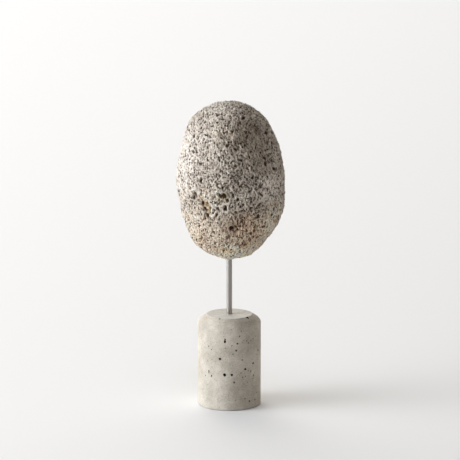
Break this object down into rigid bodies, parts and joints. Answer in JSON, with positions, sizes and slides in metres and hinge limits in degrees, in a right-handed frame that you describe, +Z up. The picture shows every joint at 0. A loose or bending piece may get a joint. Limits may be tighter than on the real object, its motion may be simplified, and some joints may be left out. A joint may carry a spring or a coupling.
{
  "type": "mounted porous stone",
  "caption": "Porous egg-shaped grey stone, shown as a meteorite, held upright on a thin steel rod in a round cast concrete base.",
  "frame": {"origin": "middle of the concrete base's underside, on the rod's axis", "axes": "+Z up along the rod; -Y is the front, the side with the ochre cleft and the deepest pit; +X to the right seen from the front"},
  "size_m": [0.0982, 0.0818, 0.277],
  "materials": {
    "stone": "matte",
    "steel": "satin",
    "concrete": "matte"
  },
  "bodies": {
    "root": {"stone": "stone", "rod": "steel", "base": "concrete"}
  },
  "joints": []
}
